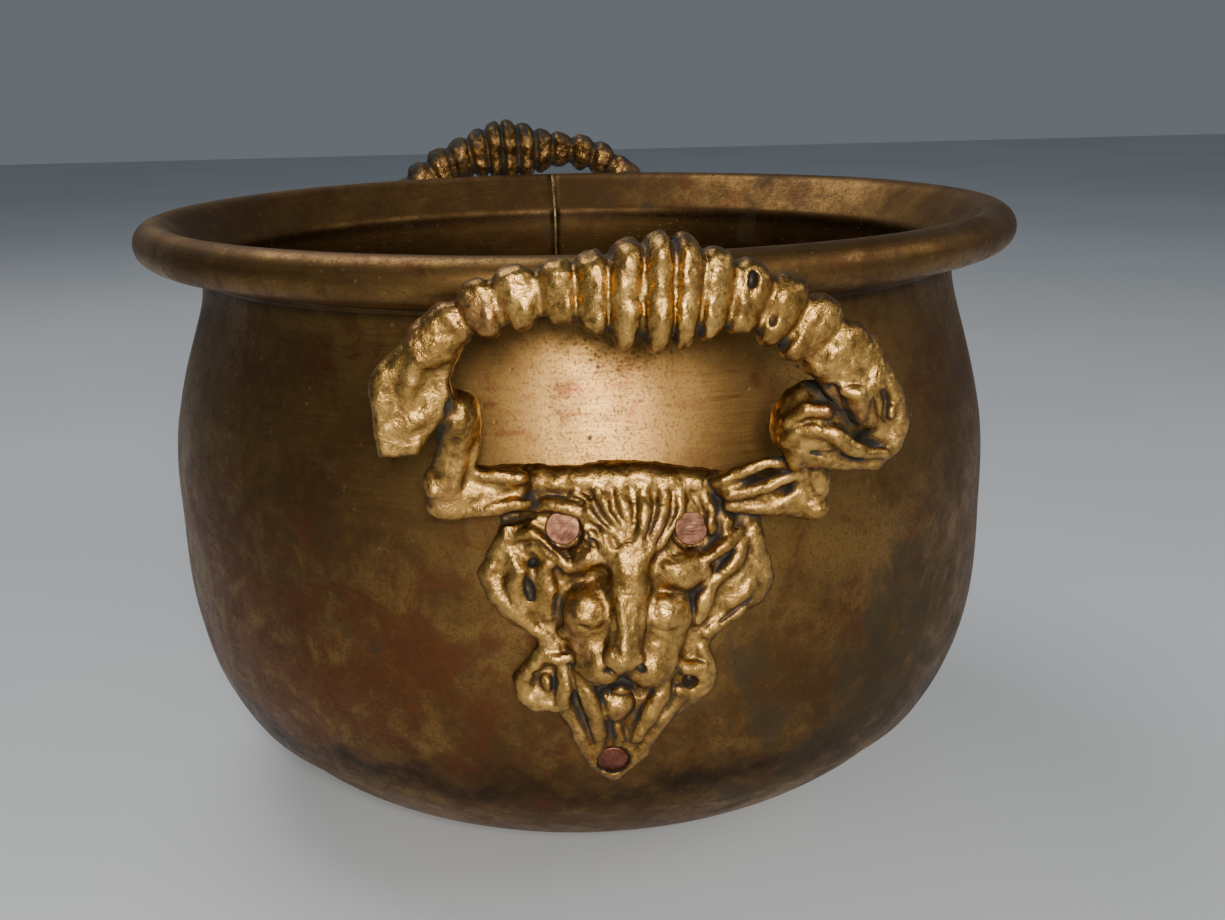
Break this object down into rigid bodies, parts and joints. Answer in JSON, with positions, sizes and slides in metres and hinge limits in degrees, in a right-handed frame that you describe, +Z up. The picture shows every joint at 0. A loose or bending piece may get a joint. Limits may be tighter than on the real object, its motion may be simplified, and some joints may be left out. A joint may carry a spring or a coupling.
{
  "type": "planter pot",
  "caption": "Round-bellied sheet-brass planter pot with a rolled rim and a ribbed cast bail handle riveted on by a lion mask at front and back.",
  "frame": {"origin": "centre of the flat base, on the plane that the pot stands on", "axes": "+Z up along the pot's axis; -Y towards the front handle; +Y towards the joint in the wall, with the rear handle a few degrees off it towards -X; +X to the right when looking at the front"},
  "size_m": [0.3, 0.3428, 0.223],
  "materials": {
    "sheet_brass": "aged satin, mottled brown patina",
    "cast_brass": "aged cast surface, dark in the recesses",
    "braze": "dull, filed",
    "copper_rivet": "scratched copper",
    "iron_wire": "dull, hidden in the rim"
  },
  "bodies": {
    "root": {"body_wall": "sheet_brass", "wall_seam_braze": "braze", "base_pan": "sheet_brass", "base_seam_braze": "braze", "rim_wire": "iron_wire", "front_handle": "cast_brass", "rear_handle": "cast_brass", "front_rivet_left": "copper_rivet", "front_rivet_right": "copper_rivet", "front_rivet_lower": "copper_rivet", "rear_rivet_left": "copper_rivet", "rear_rivet_right": "copper_rivet", "rear_rivet_lower": "copper_rivet"}
  },
  "joints": []
}
